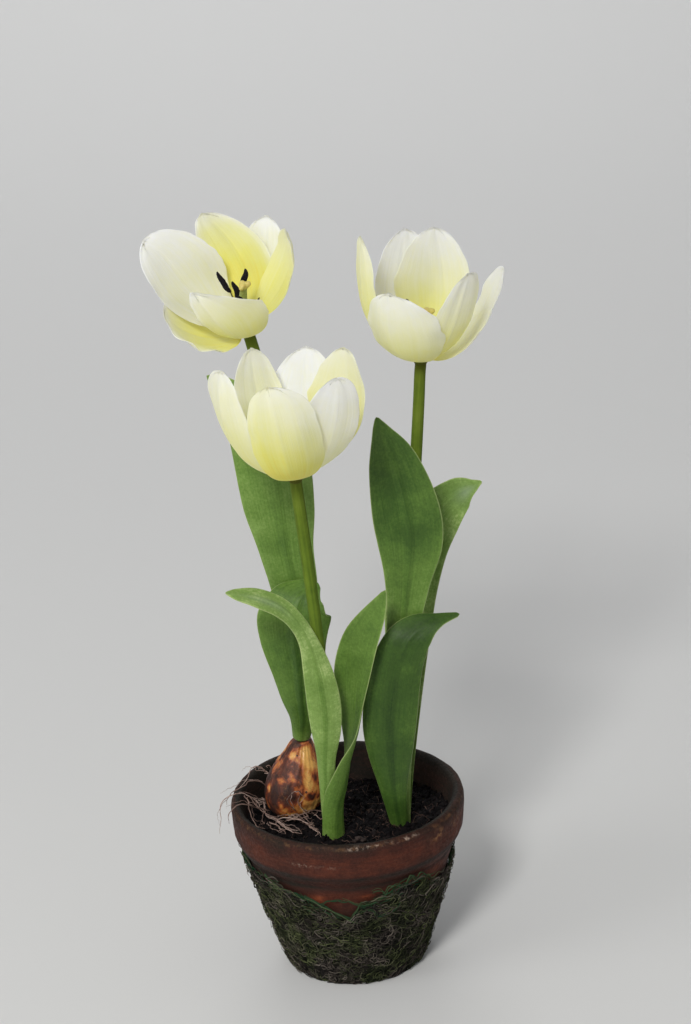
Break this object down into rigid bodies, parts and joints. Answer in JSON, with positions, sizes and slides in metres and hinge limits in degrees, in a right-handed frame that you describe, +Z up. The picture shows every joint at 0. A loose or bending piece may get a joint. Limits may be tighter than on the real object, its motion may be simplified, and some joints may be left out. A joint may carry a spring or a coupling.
{
  "type": "potted tulip",
  "caption": "Pale cream and yellow tulips with broad leaves in a mossy old terracotta pot, one grown from a bulb that stands on the soil.",
  "frame": {"origin": "middle of the pot's flat foot, on the ground", "axes": "+Z up, the pot's axis; -Y is the front of the arrangement; +X to its right"},
  "size_m": [0.1878, 0.1636, 0.4239],
  "materials": {
    "terracotta": "old unglazed terracotta, dark with age, worn on the edges",
    "moss": "dry tangled moss and fine roots, matt",
    "soil": "dark crumbly potting soil",
    "bulb_skin": "papery bulb skin, torn, over pale flesh",
    "root": "dry pale roots",
    "stem": "smooth green stem with a waxy bloom",
    "leaf": "soft satin leaf with fine long veins",
    "petal": "thin silky petal, cream to yellow",
    "pistil": "green column with a pale stigma",
    "stamen": "matt black pollen"
  },
  "bodies": {
    "root": {"pot": "terracotta", "moss_sleeve": "moss", "soil": "soil", "bulb_1": "bulb_skin", "bulb_2": "bulb_skin", "bulb_3": "bulb_skin", "bulb_roots": "root", "stem_1": "stem", "stem_2": "stem", "stem_3": "stem", "leaf_1_tall": "leaf", "leaf_1_short": "leaf", "leaf_2_left": "leaf", "leaf_2_front": "leaf", "leaf_3_front": "leaf", "leaf_3_tall": "leaf", "leaf_3_back": "leaf", "flower_1_petal_a": "petal", "flower_1_petal_b": "petal", "flower_1_petal_c": "petal", "flower_1_petal_d": "petal", "flower_1_petal_e": "petal", "flower_1_petal_f": "petal", "flower_2_petal_a": "petal", "flower_2_petal_b": "petal", "flower_2_petal_c": "petal", "flower_2_petal_d": "petal", "flower_2_petal_e": "petal", "flower_2_petal_f": "petal", "flower_3_petal_a": "petal", "flower_3_petal_b": "petal", "flower_3_petal_c": "petal", "flower_3_petal_d": "petal", "flower_3_petal_e": "petal", "flower_3_petal_f": "petal", "flower_1_pistil": "pistil", "flower_2_pistil": "pistil", "flower_3_pistil": "pistil", "flower_1_stamens": "stamen", "flower_2_stamens": "stamen", "flower_3_stamens": "stamen"}
  },
  "joints": []
}
